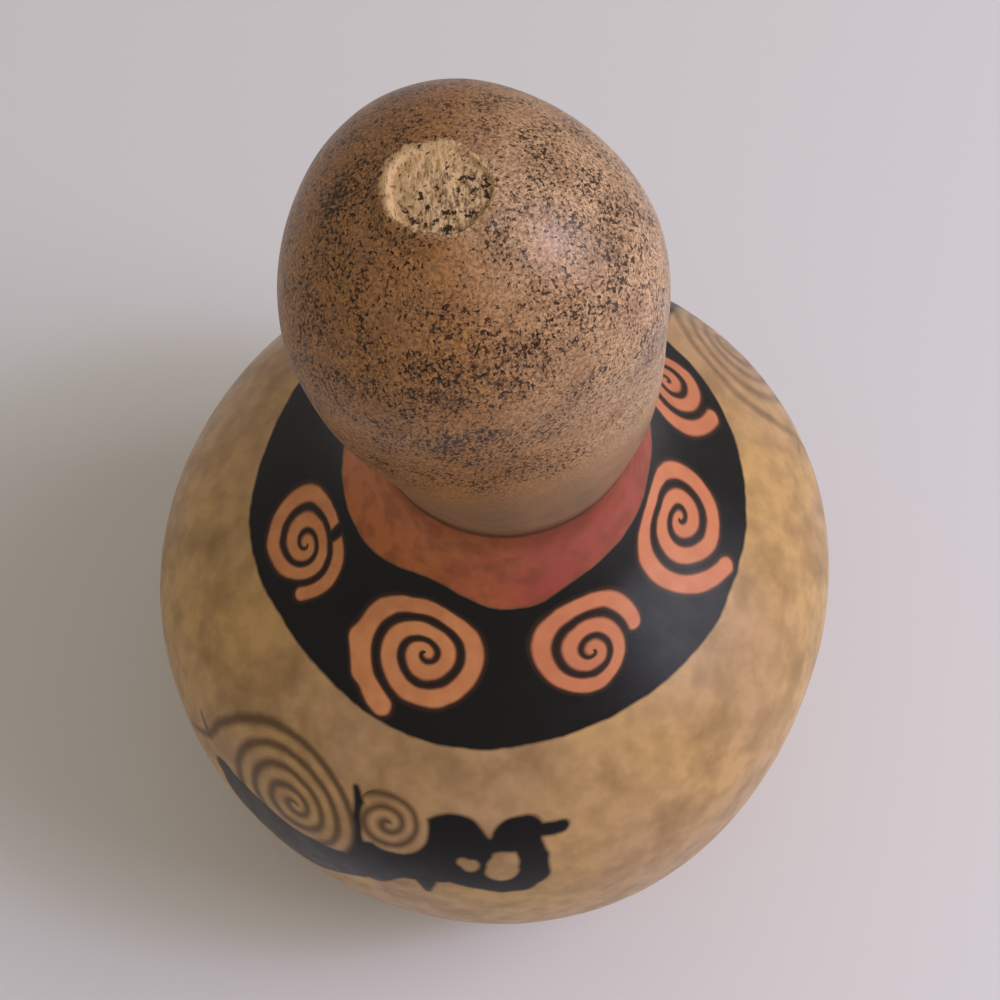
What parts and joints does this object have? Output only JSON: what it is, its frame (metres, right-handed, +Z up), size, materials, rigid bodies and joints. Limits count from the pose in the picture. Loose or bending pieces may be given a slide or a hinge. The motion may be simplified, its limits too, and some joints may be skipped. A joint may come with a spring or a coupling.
{
  "type": "painted gourd",
  "caption": "Free-standing dried bottle gourd with a round belly, soft waist and leaning egg-shaped bulb, varnished and painted with spiral ornament round the shoulder.",
  "frame": {"origin": "centre of the small flat that the gourd stands on, under the belly", "axes": "+Z up through the belly towards the bulb, -Y towards the viewer of the lower painted figure, +X to that viewer's right"},
  "size_m": [0.1248, 0.1276, 0.2037],
  "materials": {
    "gourd_skin": "varnished satin-gloss shell with dark dyed and painted bands"
  },
  "bodies": {
    "root": {"gourd": "gourd_skin"}
  },
  "joints": []
}
